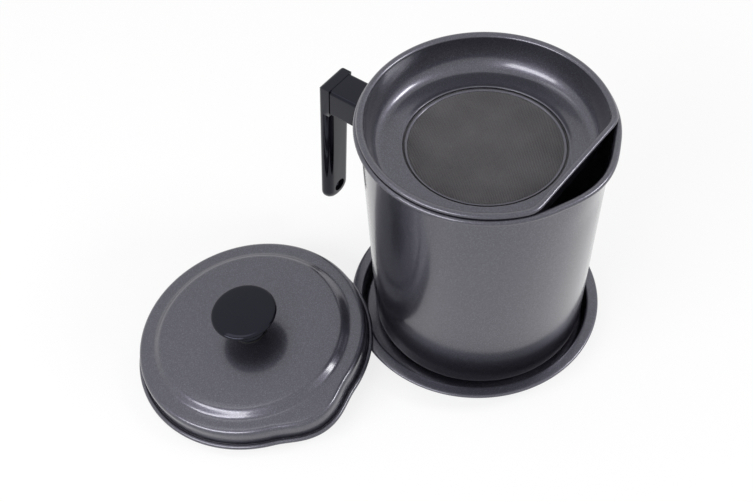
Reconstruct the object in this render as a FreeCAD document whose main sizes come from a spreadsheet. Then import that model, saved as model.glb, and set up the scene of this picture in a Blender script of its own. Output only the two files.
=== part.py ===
import FreeCAD, Part
import Sketcher
import math
import os

from FreeCAD import Placement, Rotation, Vector

# A grease pot with a strainer, a saucer tray and a lid that lies beside it.
# Millimetres, +Z up. The origin is the middle of the tray's underside, on the table.
# +X is the way the pot pours and -X is the way the handle points.

doc = FreeCAD.newDocument("grease_pot")
sheet = doc.addObject("Spreadsheet::Sheet", "dims")

SIZES = {
    # saucer tray
    "tray_room": 5.7,
    "tray_height": 11.5,
    "tray_sheet": 0.8,
    "tray_lip": 5.6,
    "tray_draft": 1.0,
    "tray_bend": 3.0,
    "tray_hem": 0.9,
    # pot
    "pot_height": 143.5,
    "pot_foot_rad": 58.3,
    "pot_mouth_rad": 61.8,
    "pot_sheet": 0.8,
    "pot_bend": 5.0,
    "pot_bead": 1.5,
    "pot_bead_out": 1.7,
    "pot_tray_gap": 0.8,
    # pouring spout in the pot's rim
    "spout_reach": 2.0,
    "spout_reach_low": 0.2,
    "spout_nose": 35.0,
    "spout_blend": 60.0,
    "spout_drop": 28.0,
    # strainer
    "strainer_gap": 0.5,
    "strainer_sheet": 0.7,
    "strainer_depth": 18.0,
    "strainer_floor_rad": 51.5,
    "strainer_chord": 52.5,
    "strainer_floor_chord": 47.0,
    "strainer_corner": 8.0,
    "strainer_bead": 1.3,
    "strainer_bead_out": 1.7,
    "seat_gap": 0.3,
    "mesh_rad": 42.5,
    "mesh_hold": 1.5,
    "mesh_thick": 0.5,
    "mesh_grip": 2.6,
    "mesh_curb": 1.1,
    # lid
    "lid_rad": 63.2,
    "lid_height": 13.0,
    "lid_sheet": 0.8,
    "lid_shoulder": 2.2,
    "lid_reach": 5.2,
    "lid_nose": 24.0,
    "lid_blend": 25.0,
    "lid_bead": 1.4,
    "lid_bead_out": 1.4,
    "lid_crown_rad": 50.8,
    "lid_crown_foot": 55.0,
    "lid_crown_rise": 3.3,
    "lid_away": 126.6,
    "lid_bearing": 231.0,
    "lid_turn": -17.3,
    # knob
    "knob_rad": 18.0,
    "knob_edge": 3.4,
    "knob_rise": 17.0,
    "knob_neck": 7.0,
    "knob_foot": 9.5,
    "knob_foot_high": 0.85,
    "knob_waist": 4.25,
    "knob_under": 6.8,
    "knob_rim_low": 2.3,
    "knob_rim_high": 1.1,
    "gasket_thick": 0.6,
    "insert_rad": 3.6,
    "insert_long": 9.0,
    "knob_screw_rad": 2.0,
    "knob_screw_long": 8.5,
    "knob_head_rad": 4.0,
    "knob_head_high": 2.4,
    "knob_head_tip": 2.4,
    "slot_wide": 0.8,
    "slot_deep": 1.2,
    "washer_rad": 6.0,
    "washer_thick": 0.8,
    # handle
    "arm_top": 120.5,
    "arm_high": 18.5,
    "arm_wide": 18.5,
    "arm_step": 0.6,
    "grip_out": 99.8,
    "grip_thick": 7.4,
    "grip_foot": 26.2,
    "grip_wide": 18.8,
    "grip_lean": 7.2,
    "grip_round": 2.8,
    "grip_end_rad": 8.2,
    "arm_round": 1.2,
    "hang_rad": 4.0,
    "hang_height": 35.8,
    # handle bracket and its fasteners
    "saddle_wide": 16.0,
    "saddle_high": 16.0,
    "saddle_thick": 1.4,
    "tongue_wide": 11.0,
    "tongue_high": 11.0,
    "tongue_long": 20.0,
    "tongue_sheet": 1.5,
    "socket_gap": 0.2,
    "bolt_rad": 2.5,
    "bolt_head_rad": 4.4,
    "bolt_head_high": 2.8,
    "bolt_head_tip": 3.1,
    "bolt_over": 1.0,
    "cross_reach": 2.6,
    "cross_half": 0.7,
    "cross_deep": 1.7,
    "bolt_bore_gap": 0.1,
    "thread_gap": 0.05,
    "nut_wide": 8.0,
    "nut_thick": 4.0,
    "bolt_sink": 3.8,
}

# a cut runs this many thicknesses of the wall that it goes through
THROUGH = 3

SLACK = 0.05

for row, (alias, number) in enumerate(SIZES.items(), start=1):
    cell = "B%d" % row
    sheet.set("A%d" % row, alias)
    sheet.set(cell, str(number))
    sheet.setAlias(cell, alias)
doc.recompute()


class Size:
    # A length that knows its value and the spreadsheet expression that gives it.

    def __init__(self, value, text):
        self.value = float(value)
        self.text = text

    def join(self, other, sign, value):
        right = other.text if isinstance(other, Size) else repr(float(other))
        return Size(value, "(%s %s %s)" % (self.text, sign, right))

    def __add__(self, other):
        return self.join(other, "+", self.value + number_of(other))

    def __sub__(self, other):
        return self.join(other, "-", self.value - number_of(other))

    def __mul__(self, other):
        return self.join(other, "*", self.value * number_of(other))

    def __truediv__(self, other):
        return self.join(other, "/", self.value / number_of(other))


def number_of(thing):
    return thing.value if isinstance(thing, Size) else float(thing)


def size(alias):
    return Size(SIZES[alias], "dims." + alias)


nil = Size(0, "0")


# Sketch and feature helpers

def new_body(name):
    body = doc.addObject("PartDesign::Body", name)
    body.Label = name
    return body


def new_sketch(body, name, role="XY_Plane", lift=None):
    plane = [item for item in body.Origin.OriginFeatures if item.Role == role][0]
    sketch = body.newObject("Sketcher::SketchObject", name)
    sketch.AttachmentSupport = [(plane, "")]
    sketch.MapMode = "FlatFace"
    if isinstance(lift, Size):
        sketch.setExpression("AttachmentOffset.Base.z", lift.text)
    return sketch


def bind(sketch, kind, *parts):
    # the last part is a Size, or a plain number
    length = parts[-1]
    index = sketch.addConstraint(Sketcher.Constraint(kind, *parts[:-1], number_of(length)))
    if isinstance(length, Size):
        sketch.setExpression("Constraints[%d]" % index, length.text)


def polygon(sketch, points):
    # closed outline; each corner is fixed from the sketch's origin
    count = len(points)
    corners = [Vector(number_of(x), number_of(y), 0) for x, y in points]
    for i in range(count):
        sketch.addGeometry(Part.LineSegment(corners[i], corners[(i + 1) % count]))
    for i in range(count):
        sketch.addConstraint(Sketcher.Constraint("Coincident", i, 2, (i + 1) % count, 1))
    for i, (x, y) in enumerate(points):
        if number_of(x) == 0:
            sketch.addConstraint(Sketcher.Constraint("PointOnObject", i, 1, -2))
        else:
            bind(sketch, "DistanceX", -1, 1, i, 1, x)
        if number_of(y) == 0:
            sketch.addConstraint(Sketcher.Constraint("PointOnObject", i, 1, -1))
        else:
            bind(sketch, "DistanceY", -1, 1, i, 1, y)
    return sketch


def circle(sketch, x, y, radius):
    centre = Vector(number_of(x), number_of(y), 0)
    index = sketch.addGeometry(Part.Circle(centre, Vector(0, 0, 1), number_of(radius)))
    for kind, place, axis in (("DistanceX", x, -2), ("DistanceY", y, -1)):
        if number_of(place) == 0:
            sketch.addConstraint(Sketcher.Constraint("PointOnObject", index, 3, axis))
        else:
            bind(sketch, kind, -1, 1, index, 3, place)
    bind(sketch, "Radius", index, radius)
    return sketch


def arc(sketch, x, y, radius, start, end):
    ring = Part.Circle(Vector(x, y, 0), Vector(0, 0, 1), radius)
    return sketch.addGeometry(Part.ArcOfCircle(ring, start, end))


def nose_outline(sketch, radius, reach, nose, blend):
    # a circle about the origin with a rounded nose that reaches past it along +X
    r, n, b = radius.value, nose.value, blend.value
    nose_x = r + number_of(reach) - n
    cosine = (nose_x ** 2 + (r + b) ** 2 - (n + b) ** 2) / (2 * nose_x * (r + b))
    phi = math.acos(cosine)
    bx, by = (r + b) * math.cos(phi), (r + b) * math.sin(phi)
    psi = math.atan2(by, bx - nose_x)
    nose_up = arc(sketch, nose_x, 0, n, 0, psi)
    blend_up = arc(sketch, bx, by, b, math.pi + phi, math.pi + psi)
    back_up = arc(sketch, 0, 0, r, phi, math.pi)
    back_down = arc(sketch, 0, 0, r, math.pi, 2 * math.pi - phi)
    blend_down = arc(sketch, bx, -by, b, math.pi - psi, math.pi - phi)
    nose_down = arc(sketch, nose_x, 0, n, -psi, 0)
    joints = (
        ("Tangent", nose_up, 2, blend_up, 2),
        ("Tangent", blend_up, 1, back_up, 1),
        ("Coincident", back_up, 2, back_down, 1),
        ("Tangent", back_down, 2, blend_down, 2),
        ("Tangent", blend_down, 1, nose_down, 1),
        ("Coincident", nose_down, 2, nose_up, 1),
        ("Coincident", back_up, 3, -1, 1),
        ("Coincident", back_down, 3, -1, 1),
        ("Coincident", nose_up, 3, nose_down, 3),
        ("PointOnObject", nose_up, 3, -1),
        ("PointOnObject", nose_up, 1, -1),
        ("PointOnObject", back_up, 2, -1),
    )
    for joint in joints:
        sketch.addConstraint(Sketcher.Constraint(*joint))
    bind(sketch, "Radius", back_up, radius)
    bind(sketch, "Radius", nose_up, nose)
    bind(sketch, "Radius", blend_up, blend)
    bind(sketch, "Radius", blend_down, blend)
    bind(sketch, "DistanceX", -1, 1, nose_up, 1, radius + reach)
    return sketch


def chord_outline(sketch, radius, chord, corner):
    # a circle about the origin, cut straight across at x = chord, with rounded corners
    r, c, q = radius.value, chord.value, corner.value
    height = math.sqrt((r - q) ** 2 - (c - q) ** 2)
    phi = math.atan2(height, c - q)
    back_down = arc(sketch, 0, 0, r, math.pi, 2 * math.pi - phi)
    corner_down = arc(sketch, c - q, -height, q, -phi, 0)
    straight = sketch.addGeometry(Part.LineSegment(Vector(c, -height, 0), Vector(c, height, 0)))
    corner_up = arc(sketch, c - q, height, q, 0, phi)
    back_up = arc(sketch, 0, 0, r, phi, math.pi)
    joints = (
        ("Tangent", back_down, 2, corner_down, 1),
        ("Tangent", corner_down, 2, straight, 1),
        ("Tangent", straight, 2, corner_up, 1),
        ("Tangent", corner_up, 2, back_up, 1),
        ("Coincident", back_up, 2, back_down, 1),
        ("PointOnObject", back_up, 2, -1),
        ("Coincident", back_up, 3, -1, 1),
        ("Coincident", back_down, 3, -1, 1),
        ("Vertical", straight),
    )
    for joint in joints:
        sketch.addConstraint(Sketcher.Constraint(*joint))
    bind(sketch, "Radius", back_up, radius)
    bind(sketch, "Radius", corner_down, corner)
    bind(sketch, "Radius", corner_up, corner)
    bind(sketch, "DistanceX", -1, 1, straight, 1, chord)
    return sketch


def feature(body, kind, name, sketch):
    item = body.newObject("PartDesign::" + kind, name)
    item.Profile = sketch
    sketch.Visibility = False
    return item


def turn(body, kind, name, points):
    # Revolution or Groove about the Z axis of an outline in (radius, height)
    sketch = polygon(new_sketch(body, name + "_outline", "XZ_Plane"), points)
    item = feature(body, kind, name, sketch)
    item.ReferenceAxis = (sketch, ["V_Axis"])
    item.Angle = 360
    doc.recompute()
    return item


def extrude(body, kind, name, sketch, length, reverse=False, middle=False):
    item = feature(body, kind, name, sketch)
    if isinstance(length, Size):
        item.setExpression("Length", length.text)
    else:
        item.Length = length
    item.Reversed = reverse
    if middle:
        item.Midplane = True
    doc.recompute()
    return item


def loft(body, kind, name, sketches):
    item = feature(body, kind, name, sketches[0])
    item.Sections = sketches[1:]
    item.Ruled = True
    doc.recompute()
    return item


def sweep(body, name, section, spine):
    item = feature(body, "AdditivePipe", name, section)
    edges = ["Edge%d" % (i + 1) for i in range(len(spine.Shape.Edges))]
    item.Spine = (spine, edges)
    spine.Visibility = False
    doc.recompute()
    return item


def pick_edges(shape, test):
    return ["Edge%d" % (i + 1) for i, edge in enumerate(shape.Edges) if test(edge)]


def soften(body, kind, name, test, length):
    base = body.Tip
    item = body.newObject("PartDesign::" + kind, name)
    item.Base = (base, pick_edges(base.Shape, test))
    item.setExpression("Radius" if kind == "Fillet" else "Size", length.text)
    doc.recompute()
    return item


def ring_at(radius, height):
    # picks the circular edges of one radius at one height
    def test(edge):
        curve = edge.Curve
        round_edge = hasattr(curve, "Radius") and abs(curve.Radius - number_of(radius)) < SLACK
        return round_edge and abs(edge.CenterOfMass.z - number_of(height)) < SLACK
    return test


def place(body, x=0, y=0, z=0, rotation=None):
    body.Placement = Placement(Vector(0, 0, 0), rotation or Rotation())
    for letter, length in (("x", x), ("y", y), ("z", z)):
        if isinstance(length, Size):
            body.setExpression("Placement.Base." + letter, length.text)
        else:
            setattr(body.Placement.Base, letter, float(length))


# Saucer tray: flat floor, sloping wall, flat lip and a hem turned down at its edge

tray_sheet = size("tray_sheet")
pot_foot = size("pot_foot_rad")
tray_mouth = pot_foot + size("tray_room")
tray_rad = tray_mouth + size("tray_lip")
tray_floor = tray_mouth - size("tray_draft")
tray_height = size("tray_height")
tray_hem = size("tray_hem")

tray = new_body("tray")
lip_end = tray_rad - tray_hem
turn(tray, "Revolution", "tray_wall", [
    (0, 0),
    (tray_floor, 0),
    (tray_mouth, tray_height - tray_sheet),
    (lip_end, tray_height - tray_sheet),
    (lip_end, tray_height),
    (tray_mouth - tray_sheet, tray_height),
    (tray_floor - tray_sheet, tray_sheet),
    (0, tray_sheet),
])
soften(tray, "Fillet", "tray_bend_out", ring_at(tray_floor, 0), size("tray_bend"))
soften(tray, "Fillet", "tray_bend_in", ring_at(tray_floor - tray_sheet, tray_sheet), size("tray_bend"))
hem_section = circle(new_sketch(tray, "hem_section", "XZ_Plane"), lip_end, tray_height - tray_hem, tray_hem)
hem = feature(tray, "Revolution", "hem", hem_section)
hem.ReferenceAxis = (hem_section, ["V_Axis"])
doc.recompute()


# Pot: drawn cup, its wall pulled out into a spout near the rim, and a rolled bead round the rim

pot_sheet = size("pot_sheet")
pot_height = size("pot_height")
pot_mouth = size("pot_mouth_rad")
pot_bead = size("pot_bead")
bead_track = pot_mouth + size("pot_bead_out")
bead_level = pot_height - pot_bead
spout_low = pot_height - size("spout_drop")
neck = pot_foot + (pot_mouth - pot_foot) * (spout_low / pot_height)
spout_reach = size("spout_reach")
spout_reach_low = size("spout_reach_low")
spout_nose = size("spout_nose")
spout_blend = size("spout_blend")

pot_lift = tray_sheet
pot_wall_at_lip = pot_foot + (pot_mouth - pot_foot) * ((tray_height - pot_lift) / pot_height)
pot_shift = tray_mouth - tray_sheet - pot_wall_at_lip - size("pot_tray_gap")

pot = new_body("pot_body")
turn(pot, "Revolution", "pot_cup", [
    (0, 0),
    (pot_foot, 0),
    (neck, spout_low),
    (neck - pot_sheet, spout_low),
    (pot_foot - pot_sheet, pot_sheet),
    (0, pot_sheet),
])
soften(pot, "Fillet", "pot_bend_out", ring_at(pot_foot, 0), size("pot_bend"))
soften(pot, "Fillet", "pot_bend_in", ring_at(pot_foot - pot_sheet, pot_sheet), size("pot_bend") - pot_sheet)
wall_low = nose_outline(new_sketch(pot, "wall_low", "XY_Plane", spout_low),
                        neck, spout_reach_low, spout_nose, spout_blend)
wall_high = nose_outline(new_sketch(pot, "wall_high", "XY_Plane", bead_level),
                         pot_mouth, spout_reach, spout_nose, spout_blend)
loft(pot, "AdditiveLoft", "spout_wall", [wall_low, wall_high])
bore_low = nose_outline(new_sketch(pot, "bore_low", "XY_Plane", spout_low),
                        neck - pot_sheet, spout_reach_low, spout_nose - pot_sheet, spout_blend + pot_sheet)
bore_high = nose_outline(new_sketch(pot, "bore_high", "XY_Plane", bead_level),
                         pot_mouth - pot_sheet, spout_reach, spout_nose - pot_sheet, spout_blend + pot_sheet)
loft(pot, "SubtractiveLoft", "spout_bore", [bore_low, bore_high])
roll_nose = spout_nose + size("pot_bead_out")
roll_blend = spout_blend - size("pot_bead_out")
roll_plan = nose_outline(new_sketch(pot, "roll_plan", "XY_Plane", bead_level),
                         bead_track, spout_reach, roll_nose, roll_blend)
extrude(pot, "Pad", "roll", roll_plan, pot_sheet)
roll_bore = nose_outline(new_sketch(pot, "roll_bore", "XY_Plane", bead_level),
                         pot_mouth - pot_sheet, spout_reach, spout_nose - pot_sheet, spout_blend + pot_sheet)
extrude(pot, "Pocket", "roll_cut", roll_bore, pot_sheet * THROUGH, reverse=True)
bead_spine = nose_outline(new_sketch(pot, "bead_spine", "XY_Plane", bead_level),
                          bead_track, spout_reach, roll_nose, roll_blend)
bead_section = circle(new_sketch(pot, "bead_section", "XZ_Plane"),
                      bead_track + spout_reach, bead_level, pot_bead)
doc.recompute()
sweep(pot, "pot_rim_bead", bead_section, bead_spine)
place(pot, y=pot_shift, z=pot_lift)


# Strainer: dish with a straight side, so that the pot can pour beside it, and a rolled bead that
# sits on the pot's bead. Its heights count from the underside of the dish's floor.

strainer_sheet = size("strainer_sheet")
strainer_depth = size("strainer_depth")
strainer_bead = size("strainer_bead")
strainer_corner = size("strainer_corner")
strainer_chord = size("strainer_chord")
mesh_thick = size("mesh_thick")
mesh_rad = size("mesh_rad")
mesh_hole = mesh_rad - size("mesh_hold")
mesh_curb = size("mesh_curb")
dish_mouth = pot_mouth - pot_sheet - size("strainer_gap")
strainer_track = dish_mouth + size("strainer_bead_out")
chord_track = strainer_chord - strainer_bead
dish_chord = chord_track - size("strainer_bead_out")
floor_rad = size("strainer_floor_rad")
floor_chord = size("strainer_floor_chord")
corner_track = strainer_corner + size("strainer_bead_out")

bead_step = bead_track.value - strainer_track.value
bead_reach = pot_bead.value + strainer_bead.value
bead_rise = math.sqrt(bead_reach ** 2 - bead_step ** 2)
strainer_level = pot_lift + bead_level + bead_rise + size("seat_gap")
strainer_base = strainer_level - strainer_depth

BOWL_STEPS = 5


def bowl(body, name, kind, inset, lift):
    # sections of a bowl whose wall follows a quarter of an ellipse
    sections = []
    for i in range(BOWL_STEPS):
        angle = math.pi / 2 * i / (BOWL_STEPS - 1)
        out, up = math.sin(angle), 1 - math.cos(angle)
        sketch = new_sketch(body, "%s_%d" % (name, i), "XY_Plane", strainer_depth * up + lift)
        radius = floor_rad + (dish_mouth - floor_rad) * out - inset
        chord = floor_chord + (dish_chord - floor_chord) * out - inset
        sections.append(chord_outline(sketch, radius, chord, strainer_corner))
    return loft(body, kind, name, sections)


dish = new_body("strainer_dish")
bowl(dish, "dish_wall", "AdditiveLoft", nil, nil)
bowl(dish, "dish_hollow", "SubtractiveLoft", strainer_sheet, strainer_sheet)
collar_plan = chord_outline(new_sketch(dish, "collar_plan", "XY_Plane", strainer_depth),
                            strainer_track, chord_track, corner_track)
extrude(dish, "Pad", "collar", collar_plan, strainer_sheet)
collar_bore = chord_outline(new_sketch(dish, "collar_bore", "XY_Plane", strainer_depth - strainer_sheet),
                            dish_mouth - strainer_sheet, dish_chord - strainer_sheet, strainer_corner)
extrude(dish, "Pocket", "collar_cut", collar_bore, strainer_sheet * THROUGH, reverse=True)
dish_spine = chord_outline(new_sketch(dish, "dish_spine", "XY_Plane", strainer_depth),
                           strainer_track, chord_track, corner_track)
dish_section = circle(new_sketch(dish, "dish_section", "XZ_Plane"),
                      nil - strainer_track, strainer_depth, strainer_bead)
doc.recompute()
sweep(dish, "dish_rim_bead", dish_section, dish_spine)
hole_plan = circle(new_sketch(dish, "hole_plan"), 0, 0, mesh_hole)
extrude(dish, "Pocket", "mesh_hole", hole_plan, strainer_sheet * THROUGH, reverse=True)
curb_mid = mesh_hole + mesh_curb
turn(dish, "Revolution", "mesh_curb_ring", [
    (mesh_hole, strainer_sheet / 2),
    (curb_mid + mesh_curb, strainer_sheet / 2),
    (curb_mid + mesh_curb, strainer_sheet),
    (curb_mid + mesh_curb / 2, strainer_sheet + mesh_curb / 2),
    (curb_mid, strainer_sheet + mesh_curb / 2),
    (mesh_hole, strainer_sheet),
])
place(dish, y=pot_shift, z=strainer_base)

mesh = new_body("strainer_mesh")
extrude(mesh, "Pad", "weave", circle(new_sketch(mesh, "weave_plan"), 0, 0, mesh_rad), mesh_thick)
place(mesh, y=pot_shift, z=strainer_base - mesh_thick)

mesh_ring = new_body("mesh_ring")
ring_rad = mesh_rad + size("mesh_grip")
ring_sheet = strainer_sheet
turn(mesh_ring, "Revolution", "clamp", [
    (mesh_hole, 0),
    (ring_rad, 0),
    (ring_rad, ring_sheet + mesh_thick),
    (mesh_rad + ring_sheet / 2, ring_sheet + mesh_thick),
    (mesh_rad + ring_sheet / 2, ring_sheet),
    (mesh_hole, ring_sheet),
])
place(mesh_ring, y=pot_shift, z=strainer_base - mesh_thick - ring_sheet)


# Lid: raised crown, flat band, short skirt with a nose over the spout, and a rolled bead.
# It lies beside the pot with one side of its bead on the table and the other on the tray's lip.

lid_rad = size("lid_rad")
lid_height = size("lid_height")
lid_sheet = size("lid_sheet")
lid_reach = size("lid_reach")
lid_nose = size("lid_nose")
lid_blend = size("lid_blend")
lid_bead = size("lid_bead")
lid_out = size("lid_bead_out")
lid_track = lid_rad + lid_out
crown_rad = size("lid_crown_rad")
crown_foot = size("lid_crown_foot")
crown_top = lid_height + size("lid_crown_rise")
knob_screw = size("knob_screw_rad")
screw_hole = knob_screw + size("bolt_bore_gap")

lid = new_body("lid_shell")
skirt_plan = nose_outline(new_sketch(lid, "skirt_plan", "XY_Plane", lid_bead),
                          lid_rad, lid_reach, lid_nose, lid_blend)
extrude(lid, "Pad", "skirt", skirt_plan, lid_height - lid_bead)
shoulder = size("lid_shoulder")
soften(lid, "Fillet", "shoulder_out",
       lambda edge: abs(edge.CenterOfMass.z - lid_height.value) < SLACK, shoulder)
turn(lid, "Revolution", "crown", [
    (0, lid_height - lid_sheet),
    (crown_foot, lid_height - lid_sheet),
    (crown_foot, lid_height),
    (crown_rad, crown_top),
    (0, crown_top),
])
hollow_plan = nose_outline(new_sketch(lid, "hollow_plan"), lid_rad - lid_sheet,
                           lid_reach, lid_nose - lid_sheet, lid_blend + lid_sheet)
extrude(lid, "Pocket", "hollow", hollow_plan, lid_height - lid_sheet, reverse=True)
crown_under = crown_foot - lid_sheet
turn(lid, "Groove", "crown_hollow", [
    (0, lid_bead),
    (crown_under, lid_bead),
    (crown_under, lid_height - lid_sheet),
    (crown_rad - lid_sheet, crown_top - lid_sheet),
    (0, crown_top - lid_sheet),
])
fold_plan = nose_outline(new_sketch(lid, "fold_plan", "XY_Plane", lid_bead),
                         lid_track, lid_reach, lid_nose + lid_out, lid_blend - lid_out)
extrude(lid, "Pad", "fold", fold_plan, lid_sheet)
fold_bore = nose_outline(new_sketch(lid, "fold_bore"), lid_rad - lid_sheet,
                         lid_reach, lid_nose - lid_sheet, lid_blend + lid_sheet)
extrude(lid, "Pocket", "fold_cut", fold_bore, lid_height - lid_sheet - lid_sheet, reverse=True)
lid_spine = nose_outline(new_sketch(lid, "lid_spine", "XY_Plane", lid_bead),
                         lid_track, lid_reach, lid_nose + lid_out, lid_blend - lid_out)
lid_section = circle(new_sketch(lid, "lid_section", "XZ_Plane"), lid_track + lid_reach, lid_bead, lid_bead)
doc.recompute()
sweep(lid, "lid_rim_bead", lid_section, lid_spine)
screw_plan = circle(new_sketch(lid, "screw_plan"), 0, 0, screw_hole)
extrude(lid, "Pocket", "screw_hole", screw_plan, crown_top + lid_height, reverse=True)


# Knob: moulded mushroom on a gasket, held by a screw from inside the lid

gasket_thick = size("gasket_thick")
insert_rad = size("insert_rad")
insert_long = size("insert_long")
knob_rad = size("knob_rad")
knob_foot = size("knob_foot")
knob_neck = size("knob_neck")
knob_rise = size("knob_rise")
knob_edge = size("knob_edge")
rim_high = size("knob_rim_high")

gasket = new_body("knob_gasket")
turn(gasket, "Revolution", "gasket", [
    (screw_hole, crown_top),
    (knob_foot, crown_top),
    (knob_foot, crown_top + gasket_thick),
    (screw_hole, crown_top + gasket_thick),
])
knob_base = crown_top + gasket_thick
knob_top = knob_base + knob_rise

knob = new_body("lid_knob")
turn(knob, "Revolution", "knob_form", [
    (insert_rad, knob_base),
    (knob_foot, knob_base),
    (knob_foot, knob_base + size("knob_foot_high")),
    (knob_neck, knob_base + size("knob_waist")),
    (knob_neck, knob_top - size("knob_under")),
    (knob_rad - knob_edge, knob_top - knob_edge),
    (knob_rad, knob_top - size("knob_rim_low")),
    (knob_rad, knob_top - rim_high),
    (knob_rad - rim_high, knob_top),
    (0, knob_top),
    (0, knob_base + insert_long),
    (insert_rad, knob_base + insert_long),
])

insert = new_body("knob_insert")
thread_rad = knob_screw + size("thread_gap")
turn(insert, "Revolution", "insert", [
    (thread_rad, knob_base),
    (insert_rad, knob_base),
    (insert_rad, knob_base + insert_long),
    (0, knob_base + insert_long),
    (0, knob_base + insert_long - lid_sheet),
    (thread_rad, knob_base + insert_long - lid_sheet),
])

crown_inside = crown_top - lid_sheet
washer_rad = size("washer_rad")
washer_thick = size("washer_thick")
washer = new_body("knob_washer")
turn(washer, "Revolution", "washer", [
    (screw_hole, crown_inside - washer_thick),
    (washer_rad, crown_inside - washer_thick),
    (washer_rad, crown_inside),
    (screw_hole, crown_inside),
])

head_seat = crown_inside - washer_thick
head_rad = size("knob_head_rad")
head_high = size("knob_head_high")
screw = new_body("knob_screw")
turn(screw, "Revolution", "screw", [
    (0, head_seat - head_high),
    (size("knob_head_tip"), head_seat - head_high),
    (head_rad, head_seat - head_high / 2),
    (head_rad, head_seat),
    (knob_screw, head_seat),
    (knob_screw, head_seat + size("knob_screw_long")),
    (0, head_seat + size("knob_screw_long")),
])
slot_half = size("slot_wide") / 2
slot_plan = polygon(new_sketch(screw, "slot_plan", "XY_Plane", head_seat - head_high), [
    (nil - head_rad, nil - slot_half),
    (head_rad, nil - slot_half),
    (head_rad, slot_half),
    (nil - head_rad, slot_half),
])
extrude(screw, "Pocket", "slot", slot_plan, size("slot_deep"), reverse=True)

away = size("lid_away").value
bearing = math.radians(size("lid_bearing").value)
track = lid_track.value
crossing = (away ** 2 + track ** 2 - tray_rad.value ** 2) / (2 * away * track)
rest_height = tray_height.value + size("seat_gap").value
lid_tilt = math.asin(rest_height / (track * (1 + crossing)))
lid_centre_z = track * math.sin(lid_tilt) + lid_bead.value
lean_axis = Vector(-math.sin(bearing), math.cos(bearing), 0)
lid_rotation = Rotation(lean_axis, math.degrees(lid_tilt)).multiply(
    Rotation(Vector(0, 0, 1), size("lid_turn").value))
lid_normal = lid_rotation.multVec(Vector(0, 0, 1))
bead_centre = Vector(away * math.cos(bearing), away * math.sin(bearing), lid_centre_z)
lid_origin = bead_centre - lid_normal * lid_bead.value
for body in (lid, gasket, knob, insert, washer, screw):
    body.Placement = Placement(lid_origin, lid_rotation)


# Handle: a steel bracket on the pot's wall, and a moulded arm and grip bolted to it.
# These are drawn about the pot's axis, with heights from the table.

arm_top = size("arm_top")
arm_high = size("arm_high")
arm_mid = arm_top - arm_high / 2
grip_out = size("grip_out")
grip_thick = size("grip_thick")
grip_foot = size("grip_foot")
grip_lean = size("grip_lean")
grip_wide = size("grip_wide")
saddle_thick = size("saddle_thick")
tongue_long = size("tongue_long")
tongue_sheet = size("tongue_sheet")
tongue_high = size("tongue_high")
tongue_wide = size("tongue_wide")
socket_gap = size("socket_gap")
bolt_rad = size("bolt_rad")
bolt_hole = bolt_rad + size("bolt_bore_gap")
bolt_sink = size("bolt_sink")
wall_mid = pot_foot + (pot_mouth - pot_foot) * ((arm_mid - pot_lift) / pot_height)
tongue_end = wall_mid + tongue_long
inside = wall_mid / 2


def block(body, kind, name, near, far, low, high, width):
    # a box from x = -near to x = -far, centred on y = 0
    sketch = polygon(new_sketch(body, name + "_outline", "XZ_Plane"), [
        (nil - far, low), (nil - near, low), (nil - near, high), (nil - far, high)])
    return extrude(body, kind, name, sketch, width, middle=True)


def clear_pot_wall(body, name, gap):
    # takes away what would stand inside the pot's outer wall
    low_wall = pot_foot + (pot_mouth - pot_foot) * ((grip_foot - pot_lift) / pot_height)
    turn(body, "Groove", name, [
        (0, grip_foot),
        (low_wall + gap, grip_foot),
        (neck + gap, spout_low + pot_lift),
        (pot_mouth + gap, bead_level + pot_lift),
        (0, bead_level + pot_lift),
    ])


def runs_along_x(edge):
    ends = [vertex.Point for vertex in edge.Vertexes]
    if len(ends) != 2:
        return False
    return abs(ends[0].z - ends[1].z) < SLACK and abs(ends[0].y - ends[1].y) < SLACK


def across(edge, half):
    # an edge that runs along x at y = +-half
    return runs_along_x(edge) and abs(abs(edge.CenterOfMass.y) - half.value) < SLACK


bracket = new_body("handle_bracket")
saddle_half = size("saddle_high") / 2
block(bracket, "Pad", "saddle", inside, wall_mid + saddle_thick,
      arm_mid - saddle_half, arm_mid + saddle_half, size("saddle_wide"))
block(bracket, "Pad", "tongue", inside, tongue_end,
      arm_mid - tongue_high / 2, arm_mid + tongue_high / 2, tongue_wide)
block(bracket, "Pocket", "channel", wall_mid + saddle_thick, tongue_end - tongue_sheet,
      arm_mid - tongue_high, arm_mid + tongue_high / 2 - tongue_sheet, tongue_wide - tongue_sheet * 2)
clear_pot_wall(bracket, "wall_face", nil)
eye_plan = circle(new_sketch(bracket, "eye_plan", "YZ_Plane", nil - tongue_end - tongue_sheet),
                  0, arm_mid, bolt_hole)
extrude(bracket, "Pocket", "eye", eye_plan, tongue_sheet * THROUGH, reverse=True)

nut = new_body("bracket_nut")
nut_half = size("nut_wide") / 2
nut_plan = polygon(new_sketch(nut, "nut_plan", "YZ_Plane", nil - tongue_end + tongue_sheet), [
    (nil - nut_half, arm_mid - nut_half), (nut_half, arm_mid - nut_half),
    (nut_half, arm_mid + nut_half), (nil - nut_half, arm_mid + nut_half)])
extrude(nut, "Pad", "nut", nut_plan, size("nut_thick"))
nut_bore = circle(new_sketch(nut, "nut_bore", "YZ_Plane", nil - tongue_end),
                  0, arm_mid, bolt_rad + size("thread_gap"))
extrude(nut, "Pocket", "nut_thread", nut_bore, size("nut_thick") * THROUGH, reverse=True)

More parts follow.
